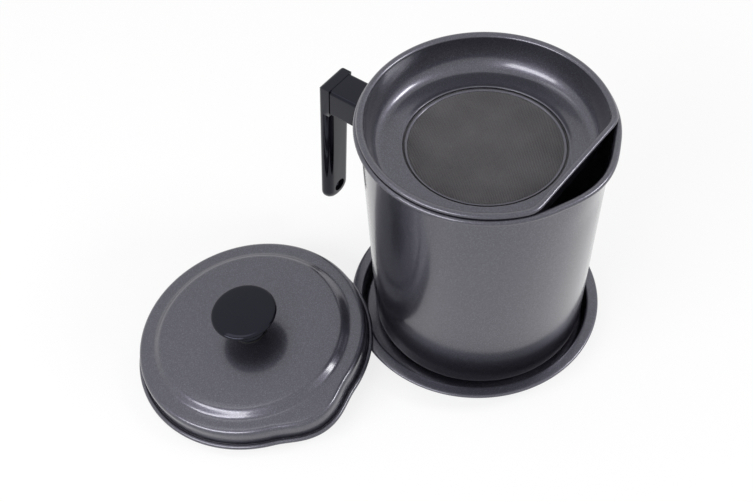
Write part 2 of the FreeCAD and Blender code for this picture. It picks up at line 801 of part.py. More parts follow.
grip = new_body("handle_grip")
foot_out = grip_out + grip_lean
grip_side = polygon(new_sketch(grip, "grip_side", "XZ_Plane"), [
    (nil - foot_out, grip_foot),
    (nil - foot_out + grip_thick, grip_foot),
    (nil - grip_out + grip_thick, arm_top),
    (nil - grip_out, arm_top),
])
extrude(grip, "Pad", "grip", grip_side, grip_wide, middle=True)
soften(grip, "Fillet", "grip_end",
       lambda edge: across(edge, grip_wide / 2) and abs(edge.CenterOfMass.z - grip_foot.value) < SLACK,
       size("grip_end_rad"))


def rounded_by_hand(edge):
    # the grip's long edges and foot, and the outer edge of its top
    centre = edge.CenterOfMass
    outer_top = centre.x < grip_thick.value / 2 - grip_out.value
    return not runs_along_x(edge) and (centre.z < arm_mid.value or outer_top)


soften(grip, "Fillet", "grip_edges", rounded_by_hand, size("grip_round"))
block(grip, "Pad", "arm", inside, grip_out - grip_thick / 2, arm_top - arm_high, arm_top - size("arm_step"),
      size("arm_wide"))
soften(grip, "Fillet", "arm_edges",
       lambda edge: across(edge, size("arm_wide") / 2) and edge.Length > tongue_long.value,
       size("arm_round"))
clear_pot_wall(grip, "wall_end", socket_gap)
block(grip, "Pocket", "saddle_seat", inside, wall_mid + saddle_thick + socket_gap,
      arm_mid - saddle_half - socket_gap, arm_mid + saddle_half + socket_gap,
      size("saddle_wide") + socket_gap * 2)
block(grip, "Pocket", "socket", inside, tongue_end + socket_gap,
      arm_mid - tongue_high / 2 - socket_gap, arm_mid + tongue_high / 2 + socket_gap,
      tongue_wide + socket_gap * 2)
bolt_seat = grip_out - bolt_sink
bolt_plan = circle(new_sketch(grip, "bolt_plan", "YZ_Plane"), 0, arm_mid, bolt_hole)
extrude(grip, "Pocket", "bolt_hole", bolt_plan, grip_out + grip_lean + grip_thick)
sink_plan = circle(new_sketch(grip, "sink_plan", "YZ_Plane", nil - bolt_seat),
                   0, arm_mid, size("bolt_head_rad") + socket_gap)
extrude(grip, "Pocket", "bolt_recess", sink_plan, bolt_sink * THROUGH)
hang_plan = circle(new_sketch(grip, "hang_plan", "YZ_Plane"), 0, size("hang_height"), size("hang_rad"))
extrude(grip, "Pocket", "hang_hole", hang_plan, grip_out + grip_lean + grip_thick)

bolt_head = size("bolt_head_rad")
bolt_head_high = size("bolt_head_high")
bolt_long = bolt_seat + washer_thick - tongue_end + tongue_sheet + size("nut_thick") + size("bolt_over")
points_inward = Rotation(Vector(0, 1, 0), 90)
bolt = new_body("handle_screw")
turn(bolt, "Revolution", "bolt", [
    (0, 0),
    (size("bolt_head_tip"), 0),
    (bolt_head, bolt_head_high / 2),
    (bolt_head, bolt_head_high),
    (bolt_rad, bolt_head_high),
    (bolt_rad, bolt_head_high + bolt_long),
    (0, bolt_head_high + bolt_long),
])
cross_reach = size("cross_reach")
cross_half = size("cross_half")
for index, (half_x, half_y) in enumerate(((cross_reach, cross_half), (cross_half, cross_reach))):
    cross_plan = polygon(new_sketch(bolt, "cross_plan_%d" % index), [
        (nil - half_x, nil - half_y), (half_x, nil - half_y), (half_x, half_y), (nil - half_x, half_y)])
    extrude(bolt, "Pocket", "cross_%d" % index, cross_plan, size("cross_deep"), reverse=True)

bolt_washer = new_body("handle_washer")
turn(bolt_washer, "Revolution", "ring", [
    (bolt_hole, 0),
    (bolt_head, 0),
    (bolt_head, washer_thick),
    (bolt_hole, washer_thick),
])

for body in (bracket, nut, grip):
    place(body, y=pot_shift)
place(bolt, nil - bolt_seat - washer_thick - bolt_head_high, pot_shift, arm_mid, points_inward)
place(bolt_washer, nil - bolt_seat - washer_thick, pot_shift, arm_mid, points_inward)


def check_and_write():
    os.makedirs("parts", exist_ok=True)
    doc.recompute()
    for item in doc.Objects:
        if "Invalid" in item.State or "Error" in item.State:
            raise RuntimeError("%s did not build: %s" % (item.Name, item.State))
    for body in doc.Objects:
        if body.TypeId != "PartDesign::Body":
            continue
        if body.Shape.isNull() or not body.Shape.isValid():
            raise RuntimeError("%s has no sound shape" % body.Label)
        body.Shape.exportStep(os.path.join("parts", body.Label + ".step"))
        print(body.Label, "solids", len(body.Shape.Solids), "volume %.1f" % body.Shape.Volume)


check_and_write()
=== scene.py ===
import math

import bmesh
import bpy
from mathutils import Matrix, Quaternion, Vector


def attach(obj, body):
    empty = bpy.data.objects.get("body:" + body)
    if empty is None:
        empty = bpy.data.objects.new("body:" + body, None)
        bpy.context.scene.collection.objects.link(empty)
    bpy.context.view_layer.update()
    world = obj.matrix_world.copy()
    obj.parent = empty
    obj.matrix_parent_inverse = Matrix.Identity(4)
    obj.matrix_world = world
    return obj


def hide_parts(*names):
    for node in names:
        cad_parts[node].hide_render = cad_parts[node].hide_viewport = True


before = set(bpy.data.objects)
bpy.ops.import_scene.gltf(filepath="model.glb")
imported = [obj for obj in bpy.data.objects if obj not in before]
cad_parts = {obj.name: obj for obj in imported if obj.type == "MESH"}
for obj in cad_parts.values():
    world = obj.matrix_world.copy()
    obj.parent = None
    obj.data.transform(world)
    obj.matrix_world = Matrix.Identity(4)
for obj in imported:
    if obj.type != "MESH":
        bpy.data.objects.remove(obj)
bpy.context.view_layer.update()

# lengths below are in mm, times this to give metres
mm = 0.001
# the pot stands off centre in its saucer, and the strainer's dish hangs in the pot's mouth
potPlace = Vector((0, 3.839, 0.8)) * mm
dishPlace = Vector((0, 3.839, 127.58)) * mm
# the lid's middle at its rim, and in degrees the side it leans to, its lean and its nose's turn
lidRest = {"place": (-79.589, -98.284, 6.092), "leanTo": 231, "lean": 5.406, "turn": -17.3}
leanTo = math.radians(lidRest["leanTo"])
lidLean = Quaternion((-math.sin(leanTo), math.cos(leanTo), 0), math.radians(lidRest["lean"]))
lidPlace = (Matrix.Translation(Vector(lidRest["place"]) * mm) @ lidLean.to_matrix().to_4x4()
            @ Matrix.Rotation(math.radians(lidRest["turn"]), 4, "Z"))


# nodes for the finishes

def addNode(tree, kind, **values):
    node = tree.nodes.new(kind)
    for key, value in values.items():
        setattr(node, key, value)
    return node


def setInputs(node, **values):
    # an underscore in a key stands for the space in a socket's name
    for key, value in values.items():
        node.inputs[key.replace("_", " ")].default_value = value
    return node


def joinSockets(tree, pairs):
    for start, end in pairs:
        tree.links.new(start, end)


def newPattern(name, inputs):
    # a node group that gives a colour, a roughness and a height
    group = bpy.data.node_groups.new(name, "ShaderNodeTree")
    for label, kind, value in inputs:
        socket = group.interface.new_socket(name=label, in_out="INPUT", socket_type=kind)
        socket.default_value = value
    for label, kind in (("Color", "NodeSocketColor"), ("Roughness", "NodeSocketFloat"),
                        ("Height", "NodeSocketFloat")):
        group.interface.new_socket(name=label, in_out="OUTPUT", socket_type=kind)
    return group, group.nodes.new("NodeGroupInput"), group.nodes.new("NodeGroupOutput")


# metal flakes in a dark coat, a slow change of tone, and the coat's orange peel as height
flakes = {"brightFrom": 0.55, "toneScale": 22, "toneLow": 0.92, "toneHigh": 1.08, "peelScale": 900}
flakeGroup, flakeIn, flakeOut = newPattern(
    "coatFlakes",
    [("Base", "NodeSocketColor", (0.1, 0.1, 0.11, 1)),
     ("Flake", "NodeSocketColor", (0.3, 0.3, 0.33, 1)),
     ("Flake Scale", "NodeSocketFloat", 2400), ("Flake Amount", "NodeSocketFloat", 0.5),
     ("Roughness", "NodeSocketFloat", 0.35)])
place = addNode(flakeGroup, "ShaderNodeTexCoord")
cells = addNode(flakeGroup, "ShaderNodeTexVoronoi")
cloud = addNode(flakeGroup, "ShaderNodeTexNoise")
setInputs(cloud, Scale=flakes["toneScale"], Detail=3)
peel = addNode(flakeGroup, "ShaderNodeTexNoise")
setInputs(peel, Scale=flakes["peelScale"], Detail=2)
bright = addNode(flakeGroup, "ShaderNodeMapRange")
setInputs(bright, From_Min=flakes["brightFrom"], From_Max=1.0)
amount = addNode(flakeGroup, "ShaderNodeMath", operation="MULTIPLY")
blend = addNode(flakeGroup, "ShaderNodeMix", data_type="RGBA")
mottle = addNode(flakeGroup, "ShaderNodeMapRange")
setInputs(mottle, To_Min=flakes["toneLow"], To_Max=flakes["toneHigh"])
tone = addNode(flakeGroup, "ShaderNodeVectorMath", operation="SCALE")
rough = addNode(flakeGroup, "ShaderNodeMath", operation="MULTIPLY")
joinSockets(flakeGroup, (
    (place.outputs["Object"], cells.inputs["Vector"]),
    (place.outputs["Object"], cloud.inputs["Vector"]),
    (place.outputs["Object"], peel.inputs["Vector"]),
    (flakeIn.outputs["Flake Scale"], cells.inputs["Scale"]),
    (cells.outputs["Color"], bright.inputs["Value"]),
    (bright.outputs["Result"], amount.inputs[0]),
    (flakeIn.outputs["Flake Amount"], amount.inputs[1]),
    (amount.outputs[0], blend.inputs["Factor"]),
    (flakeIn.outputs["Base"], blend.inputs["A"]),
    (flakeIn.outputs["Flake"], blend.inputs["B"]),
    (cloud.outputs["Fac"], mottle.inputs["Value"]),
    (blend.outputs["Result"], tone.inputs[0]),
    (mottle.outputs["Result"], tone.inputs["Scale"]),
    (tone.outputs[0], flakeOut.inputs["Color"]),
    (flakeIn.outputs["Roughness"], rough.inputs[0]),
    (mottle.outputs["Result"], rough.inputs[1]),
    (rough.outputs[0], flakeOut.inputs["Roughness"]),
    (peel.outputs["Fac"], flakeOut.inputs["Height"])))

# a grain in tone, roughness and height, for mouldings, wire and turned pieces
grainGroup, grainIn, grainOut = newPattern(
    "fineGrain",
    [("Base", "NodeSocketColor", (0.02, 0.02, 0.02, 1)), ("Scale", "NodeSocketFloat", 300),
     ("Tone Spread", "NodeSocketFloat", 0.1), ("Roughness", "NodeSocketFloat", 0.1),
     ("Stretch", "NodeSocketVector", (1, 1, 1))])
place = addNode(grainGroup, "ShaderNodeTexCoord")
stretch = addNode(grainGroup, "ShaderNodeVectorMath", operation="MULTIPLY")
grain = setInputs(addNode(grainGroup, "ShaderNodeTexNoise"), Detail=4)
centred = addNode(grainGroup, "ShaderNodeMath", operation="SUBTRACT")
centred.inputs[1].default_value = 0.5  # the noise lies round this
spread = addNode(grainGroup, "ShaderNodeMath", operation="MULTIPLY_ADD")
spread.inputs[2].default_value = 1
tone = addNode(grainGroup, "ShaderNodeVectorMath", operation="SCALE")
rough = addNode(grainGroup, "ShaderNodeMath", operation="MULTIPLY")
joinSockets(grainGroup, (
    (place.outputs["Object"], stretch.inputs[0]),
    (grainIn.outputs["Stretch"], stretch.inputs[1]),
    (stretch.outputs[0], grain.inputs["Vector"]),
    (grainIn.outputs["Scale"], grain.inputs["Scale"]),
    (grain.outputs["Fac"], centred.inputs[0]),
    (centred.outputs[0], spread.inputs[0]),
    (grainIn.outputs["Tone Spread"], spread.inputs[1]),
    (grainIn.outputs["Base"], tone.inputs[0]),
    (spread.outputs[0], tone.inputs["Scale"]),
    (tone.outputs[0], grainOut.inputs["Color"]),
    (grainIn.outputs["Roughness"], rough.inputs[0]),
    (spread.outputs[0], rough.inputs[1]),
    (rough.outputs[0], grainOut.inputs["Roughness"]),
    (grain.outputs["Fac"], grainOut.inputs["Height"])))


def makeFinish(name, group, groupValues, shaderValues, bumpStrength, bumpDepth):
    # the last two set the bump: its strength, and its depth in metres
    finish = bpy.data.materials.new(name)
    finish.use_nodes = True
    tree = finish.node_tree
    shader = tree.nodes["Principled BSDF"]
    pattern = addNode(tree, "ShaderNodeGroup", node_tree=group)
    for node, values in ((pattern, groupValues), (shader, shaderValues)):
        for key, value in values.items():
            node.inputs[key].default_value = value
    bump = setInputs(addNode(tree, "ShaderNodeBump"), Strength=bumpStrength, Distance=bumpDepth)
    joinSockets(tree, (
        (pattern.outputs["Color"], shader.inputs["Base Color"]),
        (pattern.outputs["Roughness"], shader.inputs["Roughness"]),
        (pattern.outputs["Height"], bump.inputs["Height"]),
        (bump.outputs["Normal"], shader.inputs["Normal"])))
    return finish


coatedSteel = makeFinish(
    "coatedSteel", flakeGroup,
    {"Base": (0.062, 0.06, 0.08, 1), "Flake": (0.3, 0.3, 0.37, 1), "Flake Scale": 3800,
     "Flake Amount": 0.32, "Roughness": 0.36},
    {"Metallic": 0.85, "Coat Weight": 1.0, "Coat Roughness": 0.14},
    bumpStrength=0.12, bumpDepth=0.00006)
wireSteel = makeFinish(
    "wireSteel", grainGroup,
    {"Base": (0.155, 0.15, 0.157, 1), "Scale": 90, "Tone Spread": 0.7, "Roughness": 0.42},
    {"Metallic": 0.8}, bumpStrength=0.1, bumpDepth=0.0001)
glossResin = makeFinish(
    "glossResin", grainGroup,
    {"Base": (0.004, 0.004, 0.006, 1), "Scale": 120, "Tone Spread": 0.4, "Roughness": 0.07},
    {"Metallic": 0.0, "Specular IOR Level": 0.29, "Specular Tint": (0.74, 0.77, 1.0, 1)},
    bumpStrength=0.03, bumpDepth=0.0002)
platedSteel = makeFinish(
    "platedSteel", grainGroup,
    {"Base": (0.55, 0.56, 0.58, 1), "Scale": 900, "Tone Spread": 0.25, "Roughness": 0.28,
     "Stretch": (1, 1, 0.1)},
    {"Metallic": 1.0}, bumpStrength=0.1, bumpDepth=0.0001)
turnedBrass = makeFinish(
    "turnedBrass", grainGroup,
    {"Base": (0.62, 0.44, 0.16, 1), "Scale": 700, "Tone Spread": 0.3, "Roughness": 0.3,
     "Stretch": (1, 1, 4)},
    {"Metallic": 1.0}, bumpStrength=0.1, bumpDepth=0.0001)
sealRubber = makeFinish(
    "sealRubber", grainGroup,
    {"Base": (0.012, 0.012, 0.012, 1), "Scale": 1500, "Tone Spread": 0.5, "Roughness": 0.75},
    {"Metallic": 0.0}, bumpStrength=0.25, bumpDepth=0.0001)
finishOfNode = {
    "tray": coatedSteel, "pot_body": coatedSteel, "strainer_dish": coatedSteel,
    "mesh_ring": coatedSteel, "lid_shell": coatedSteel, "strainer_mesh": wireSteel,
    "knob_gasket": sealRubber, "lid_knob": glossResin, "knob_insert": turnedBrass,
    "knob_washer": platedSteel, "knob_screw": platedSteel, "handle_bracket": platedSteel,
    "bracket_nut": platedSteel, "handle_grip": glossResin, "handle_screw": platedSteel,
    "handle_washer": platedSteel}
for nodeName, finish in finishOfNode.items():
    node = bpy.data.objects[nodeName]
    if node.material_slots:
        for slot in node.material_slots:
            slot.material = finish
    else:
        node.data.materials.append(finish)
print("finishes made")


# helpers for modelling

def selectOnly(piece):
    bpy.ops.object.select_all(action="DESELECT")
    piece.select_set(True)
    bpy.context.view_layer.objects.active = piece


def selectParts(piece, kind, test):
    # in edit mode: selects the corners, edges or faces that pass a test, and nothing else
    bpy.ops.mesh.select_mode(type=kind)
    bpy.ops.mesh.select_all(action="DESELECT")
    grid = bmesh.from_edit_mesh(piece.data)
    for part in {"VERT": grid.verts, "EDGE": grid.edges, "FACE": grid.faces}[kind]:
        part.select = test(part)
    bmesh.update_edit_mesh(piece.data)


def faceOutwards():
    # in edit mode: leaves everything selected
    bpy.ops.mesh.select_all(action="SELECT")
    bpy.ops.mesh.normals_make_consistent(inside=False)


def applyModifier(piece, kind, **settings):
    # the piece has to be the active one
    change = piece.modifiers.new(kind.lower(), kind)
    for key, value in settings.items():
        setattr(change, key, value)
    bpy.ops.object.modifier_apply(modifier=change.name)


def ringsFrom(radius, height, steps):
    # rings at steps (out, up) from one radius and height
    return [(radius + out, height + up) for out, up in steps]


def curl(radius, height, size, start, end, count):
    # part of a rolled bead as rings; angles in degrees, 0 outwards and 90 up
    rings = []
    for i in range(count + 1):
        angle = math.radians(start + (end - start) * i / count)
        rings.append((radius + size * math.cos(angle), height + size * math.sin(angle)))
    return rings


def noseShare(angle, halfWidth):
    # 1 at the tip of a pressed nose, falling smoothly to 0 at half its width
    share = abs(angle) / halfWidth
    return (1 - share * share) ** 2 if share < 1 else 0.0


def turnShell(name, rings, count, plan=None):
    # rings of (radius, height), each extruded from the last; plan(angle, radius, height) gives
    # the radius at an angle where the piece isn't round
    bpy.ops.object.select_all(action="DESELECT")
    bpy.ops.mesh.primitive_circle_add(vertices=count, radius=rings[0][0] * mm, fill_type="NGON",
                                      location=(0, 0, 0))
    piece = bpy.context.object
    piece.name = name
    bpy.ops.object.mode_set(mode="EDIT")
    bpy.ops.mesh.select_mode(type="FACE")
    bpy.ops.mesh.select_all(action="SELECT")
    bpy.ops.transform.translate(value=(0, 0, rings[0][1] * mm))
    for (lastRadius, lastHeight), (radius, height) in zip(rings, rings[1:]):
        bpy.ops.mesh.extrude_region_move(
            TRANSFORM_OT_translate={"value": (0, 0, (height - lastHeight) * mm)})
        share = radius / lastRadius
        bpy.ops.transform.resize(value=(share, share, 1), center_override=(0, 0, 0))
        if plan:
            grid = bmesh.from_edit_mesh(piece.data)
            for vert in grid.verts:
                if vert.select:
                    angle = math.atan2(vert.co.y, vert.co.x)
                    reach = plan(angle, radius, height) * mm
                    vert.co.x, vert.co.y = reach * math.cos(angle), reach * math.sin(angle)
            bmesh.update_edit_mesh(piece.data)
    faceOutwards()
    bpy.ops.object.mode_set(mode="OBJECT")
    return piece


def openMiddle(piece):
    # a turned piece with a hole right through: its two caps go, and their rims are bridged
    bpy.ops.object.mode_set(mode="EDIT")
    selectParts(piece, "FACE", lambda face: len(face.verts) > 4)
    bpy.ops.mesh.delete(type="ONLY_FACE")
    bpy.ops.mesh.select_mode(type="EDGE")
    bpy.ops.mesh.select_non_manifold()
    bpy.ops.mesh.bridge_edge_loops()
    faceOutwards()
    bpy.ops.object.mode_set(mode="OBJECT")


def finishPiece(piece, finish, body, place=None, levels=0):
    selectOnly(piece)
    if levels:
        applyModifier(piece, "SUBSURF", levels=levels, render_levels=levels,
                      use_limit_surface=False)
    bpy.ops.object.shade_smooth()
    if place is not None:
        piece.matrix_world = place if isinstance(place, Matrix) else Matrix.Translation(place)
        bpy.ops.object.transform_apply(location=True, rotation=True, scale=True)
    piece.data.materials.clear()
    piece.data.materials.append(finish)
    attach(piece, body)


# the pot: a drawn cup with a rounded foot, a rolled bead and a spout along +X, which starts
# "noseDrop" below the rim and is full from "noseFull" below it; "around" counts the corners
pot = {"height": 143.5, "foot": 58.3, "mouth": 61.8, "sheet": 0.8, "bend": 5.0, "bead": 1.5,
       "beadOut": 1.7, "nose": 2.0, "noseHalf": math.radians(25), "noseDrop": 28.0,
       "noseFull": 3.0, "noseCurve": 1.3, "around": 128}


def potWall(height):
    return pot["foot"] + (pot["mouth"] - pot["foot"]) * height / pot["height"]


def potPlan(angle, radius, height):
    rise = (height - pot["height"] + pot["noseDrop"]) / (pot["noseDrop"] - pot["noseFull"])
    fade = min(max(rise, 0), 1)
    return radius + pot["nose"] * fade ** pot["noseCurve"] * noseShare(angle, pot["noseHalf"])


def potFoot(sheet, angles):
    # the rounded foot at a depth in the sheet, for angles in radians from straight down
    size, middle = pot["bend"] - sheet, pot["foot"] - pot["bend"]
    return [(middle + size * math.sin(angle), pot["bend"] - size * math.cos(angle))
            for angle in angles]


potRings = [(radius, pot["sheet"]) for radius in (8, 30, 50, 53.2)]
potRings += potFoot(pot["sheet"], (0.45, 0.85, 1.25))
potRings += [(potWall(height) - pot["sheet"], height)
             for height in (5.5, 9, 30, 60, 90, 110, 116, 122, 128, 134, 138, 140.5)]
potRings += ringsFrom(pot["mouth"], pot["height"],
                      [(-0.75, -1.7), (-0.45, -0.9), (0.2, -0.35), (1.0, -0.05)])
potRings += curl(pot["mouth"] + pot["beadOut"], pot["height"] - pot["bead"], pot["bead"],
                 90, -90, 6)
potRings += ringsFrom(pot["mouth"], pot["height"], [(0.8, -2.95), (0.15, -3.4)])
potRings += [(potWall(height), height)
             for height in (139, 136, 131, 125, 119, 113, 107, 90, 60, 30, 10, 6)]
potRings += potFoot(0, (1.45, 1.1, 0.75, 0.4, 0.1))
potRings += [(radius, 0) for radius in (50, 30, 8)]
potPiece = turnShell("pot_cup", potRings, pot["around"], potPlan)
finishPiece(potPiece, coatedSteel, "pot", potPlace, 1)
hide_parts("pot_body")
print("pot made")

# the strainer's dish: a bowl with a curbed hole for the mesh, and a straight side towards +X;
# "straightFloor" and "straightBead" are its distances from the middle, low and high
dish = {"hole": 41.0, "floor": 51.5, "mouth": 60.5, "depth": 18.0, "sheet": 0.7, "bead": 1.3,
        "beadOut": 1.7, "straightFloor": 47.0, "straightBead": 51.2, "straightIn": 1.2,
        "straightWide": 0.2, "corner": 3.0, "around": 160}


def softerOf(a, b, width):
    # the smaller of two lengths, rounded off where they meet
    mix = max(width - abs(a - b), 0) / width
    return min(a, b) - mix * mix * width / 4


def dishPlan(angle, radius, height):
    side = math.cos(angle)
    if radius < dish["floor"] - dish["straightIn"] or side <= dish["straightWide"]:
        return radius
    out = min(max((radius - dish["floor"]) / (dish["mouth"] - dish["floor"]), 0), 1)
    top = dish["straightBead"] - dish["beadOut"]
    chord = dish["straightFloor"] + (top - dish["straightFloor"]) * out
    chord += max(radius - dish["mouth"], 0) + min(radius - dish["floor"], 0)
    return softerOf(radius, chord / side, dish["corner"])


def bowlRings(sheet, count=12):
    # a quarter of an ellipse from the floor to the mouth, at a depth in the sheet
    rings = []
    wide, deep = dish["mouth"] - dish["floor"], dish["depth"]
    for i in range(count + 1):
        angle = math.pi / 2 * i / count
        slope = math.atan2(deep * math.sin(angle), wide * math.cos(angle))
        rings.append((dish["floor"] + wide * math.sin(angle) - sheet * math.sin(slope),
                      deep * (1 - math.cos(angle)) + sheet * math.cos(slope)))
    return rings


dishRings = ringsFrom(dish["hole"], 0, [
    (0, 0), (0, 0.35), (0, 0.75), (0.15, 1.02), (0.5, 1.16), (0.9, 1.12), (1.5, 0.98), (2.3, 0.82),
    (3.4, 0.73), (6.0, 0.7)])
dishRings += bowlRings(dish["sheet"])[:-1]
dishRings += ringsFrom(dish["mouth"], dish["depth"],
                       [(-0.7, -0.6), (-0.65, 0), (-0.3, 0.6), (0.3, 1.0), (1.0, 1.25)])
dishRings += curl(dish["mouth"] + dish["beadOut"], dish["depth"], dish["bead"], 90, -90, 6)
dishRings += ringsFrom(dish["mouth"], dish["depth"], [(0.9, -1.2), (0.2, -1.4), (0, -2.0)])
dishRings += bowlRings(0)[-2::-1]
dishRings += ringsFrom(dish["hole"], 0, [(5.0, 0), (1.5, 0)])
dishPiece = turnShell("drain_dish", dishRings, dish["around"], dishPlan)
openMiddle(dishPiece)
finishPiece(dishPiece, coatedSteel, "strainer", dishPlace, 1)
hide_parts("strainer_dish")
print("strainer dish made")

# the saucer tray: a sloping wall, and a flat lip with a small hem
saucer = {"foot": 60.0, "height": 11.5, "lip": 64.8, "edge": 69.6, "sheet": 0.8, "around": 128}
trayRings = [(radius, saucer["sheet"]) for radius in (8, 40)]
trayRings += ringsFrom(saucer["foot"], 0, [
    (-0.5, 0.8), (0.6, 0.85), (1.5, 1.3), (2.15, 2.3), (2.4, 3.6), (2.9, 8.0)])
trayRings += ringsFrom(saucer["lip"], saucer["height"], [
    (-1.7, -1.1), (-1.5, -0.4), (-0.9, -0.05), (0, 0)])
trayRings += ringsFrom(saucer["edge"], saucer["height"], [
    (-1.2, 0), (-0.5, -0.15), (-0.1, -0.55), (0, -1.1), (-0.15, -1.55), (-0.5, -1.78),
    (-0.9, -1.75), (-1.15, -1.4), (-1.3, -0.9), (-1.8, -0.8)])
trayRings += ringsFrom(saucer["lip"], saucer["height"], [
    (0.2, -0.8), (-0.4, -0.9), (-0.7, -1.3), (-1.0, -3.5)])
trayRings += ringsFrom(saucer["foot"], 0, [(3.25, 3.4), (2.6, 1.5), (1.4, 0.45), (0, 0), (-1.4, 0)])
trayRings += [(radius, 0) for radius in (40, 8)]
trayPiece = turnShell("saucer", trayRings, saucer["around"])
finishPiece(trayPiece, coatedSteel, "tray", None, 1)
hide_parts("tray")
print("saucer made")

# the lid: a raised crown, a flat band, a skirt with a rolled bead, and a nose over the spout,
# which grows from the band's start and is full "noseFull" further out
lid = {"crown": 48.5, "crownTop": 16.3, "band": 55.6, "bandTop": 13.0, "skirt": 63.2, "bead": 1.4,
       "sheet": 0.8, "nose": 5.2, "noseHalf": math.radians(23), "noseFull": 5.0, "around": 144}


def lidPlan(angle, radius, height):
    if radius < lid["band"]:
        return radius
    fade = min((radius - lid["band"]) / lid["noseFull"], 1)
    return radius + lid["nose"] * fade * noseShare(angle, lid["noseHalf"])


lidRings = [(radius, lid["crownTop"]) for radius in (8, 30)]
lidRings += ringsFrom(lid["crown"], lid["crownTop"], [
    (0, 0), (1.4, -0.05), (2.4, -0.35), (3.5, -1.1)])
lidRings += ringsFrom(lid["band"], lid["bandTop"], [
    (-2.0, 0.75), (-1.2, 0.25), (-0.4, 0.02), (0.8, 0), (2.9, 0)])
lidRings += ringsFrom(lid["skirt"], lid["bandTop"], [
    (-2.6, 0), (-1.8, -0.1), (-0.9, -0.55), (-0.25, -1.4), (0, -2.4)])
lidRings += ringsFrom(lid["skirt"], 0, [(0, 8), (0, 5), (0, 3.2), (0, 2.3), (0.02, 2.0)])
lidRings += curl(lid["skirt"] + lid["bead"], lid["bead"], lid["bead"], 158, -90, 9)
lidRings += ringsFrom(lid["skirt"], 0, [
    (0.5, 0.15), (-0.2, 0.5), (-0.7, 1.2), (-0.8, 3), (-0.8, 8)])
lidRings += ringsFrom(lid["skirt"], lid["bandTop"], [(-0.8, -2.2), (-1.3, -1.3), (-2.4, -0.8)])
lidRings += ringsFrom(lid["band"], lid["bandTop"], [
    (1.9, -0.8), (-0.2, -0.8), (-1.3, -0.75), (-2.3, -0.1)])
lidRings += ringsFrom(lid["crown"], lid["crownTop"], [(2.9, -1.7), (1.8, -0.95), (0.3, -0.8)])
lidRings += [(radius, lid["crownTop"] - lid["sheet"]) for radius in (30, 8)]
lidPiece = turnShell("lid_cover", lidRings, lid["around"], lidPlan)
finishPiece(lidPiece, coatedSteel, "lid", lidPlace, 1)
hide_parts("lid_shell")
print("lid made")

# the lid's knob: a mushroom with a bore for its insert, from the crown's face up
knob = {"bore": 3.6, "boreDeep": 9.0, "foot": 9.5, "footLow": 16.9, "neck": 7.0, "cap": 18.0,
        "capTop": 33.9, "around": 96}
knobRings = ringsFrom(knob["bore"], knob["footLow"], [
    (0, knob["boreDeep"]), (0, 3.1), (0, 0.3), (0.15, 0.05), (2.4, 0)])
knobRings += ringsFrom(knob["foot"], knob["footLow"], [
    (-0.6, 0), (-0.15, 0.15), (0, 0.5), (-0.2, 1.3), (-1.1, 2.7)])
knobRings += ringsFrom(knob["neck"], knob["footLow"], [
    (0.5, 4.0), (0.05, 5.3), (0, 7.1), (0.2, 8.7), (1.0, 10.1), (3.0, 11.7)])
knobRings += ringsFrom(knob["cap"], knob["capTop"], [
    (-5.0, -4.1), (-2.4, -3.4), (-1.1, -2.9), (-0.3, -2.3), (0, -1.7), (-0.1, -1.1), (-0.6, -0.6),
    (-1.3, -0.4), (-2.4, -0.28), (-5.0, -0.15), (-10.0, -0.03), (-15.0, 0)])
knobPiece = turnShell("knob_top", knobRings, knob["around"])
finishPiece(knobPiece, glossResin, "lid", lidPlace, 1)
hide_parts("lid_knob")
print("knob made")

# the handle: a leaning plate to hold and hang by, and an arm to the pot, in one moulding.
# "out" is the plate's outer face at its top; the rooms are for the bracket's tongue and saddle
grip = {"top": 120.5, "foot": 26.2, "out": 99.8, "lean": 7.2, "thick": 7.4, "topWide": 19.4,
        "footWide": 18.0, "footRound": 8.0, "outRound": 2.4, "inRound": 4.3, "rimRound": 0.35,
        "armLow": 102.0, "armStep": 0.5, "armEnd": 61.5, "armRound": 2.0,
        "boltHeight": 111.25, "boltSeat": 96.0, "boltHead": 4.6, "boltShank": 2.6,
        "hangHeight": 35.8, "hangRadius": 4.0,
        "tongueRoom": ((-81.4, -5.7, 105.55), (-50, 5.7, 116.95)),
        "saddleRoom": ((-62.9, -8.2, 103.05), (-50, 8.2, 119.45))}
# how near a face's normal and an edge have to be to an axis, and radians between two faces
squareOn, alongAxis, sharpFrom = 0.9, 0.97, 1.2


def edgeMiddle(edge):
    return (edge.verts[0].co + edge.verts[1].co) / (2 * mm)


def edgeRuns(edge, axis):
    run = edge.verts[1].co - edge.verts[0].co
    return abs(run[axis]) > alongAxis * run.length


def roundEdges(radius, segments):
    bpy.ops.mesh.bevel(offset=radius * mm, segments=segments, affect="EDGES")


def cutAway(piece, cutter):
    # takes the cutter's shape out of a piece, and removes the cutter
    selectOnly(piece)
    applyModifier(piece, "BOOLEAN", operation="DIFFERENCE", solver="EXACT", object=cutter)
    bpy.data.objects.remove(cutter)


def crossBore(height, radius, start, end):
    # a cylinder along X from start to end, for cutAway
    bpy.ops.object.select_all(action="DESELECT")
    bpy.ops.mesh.primitive_cylinder_add(
        vertices=48, radius=radius * mm, depth=abs(end - start) * mm,
        location=((start + end) / 2 * mm, 0, height * mm), rotation=(0, math.radians(90), 0))
    return bpy.context.object


def boxRoom(low, high):
    # a box between two corners, for cutAway
    middle = [(a + b) / 2 * mm for a, b in zip(low, high)]
    bpy.ops.object.select_all(action="DESELECT")
    bpy.ops.mesh.primitive_cube_add(size=1, location=middle)
    box = bpy.context.object
    box.scale = [(b - a) * mm for a, b in zip(low, high)]
    bpy.ops.object.transform_apply(location=False, rotation=False, scale=True)
    return box


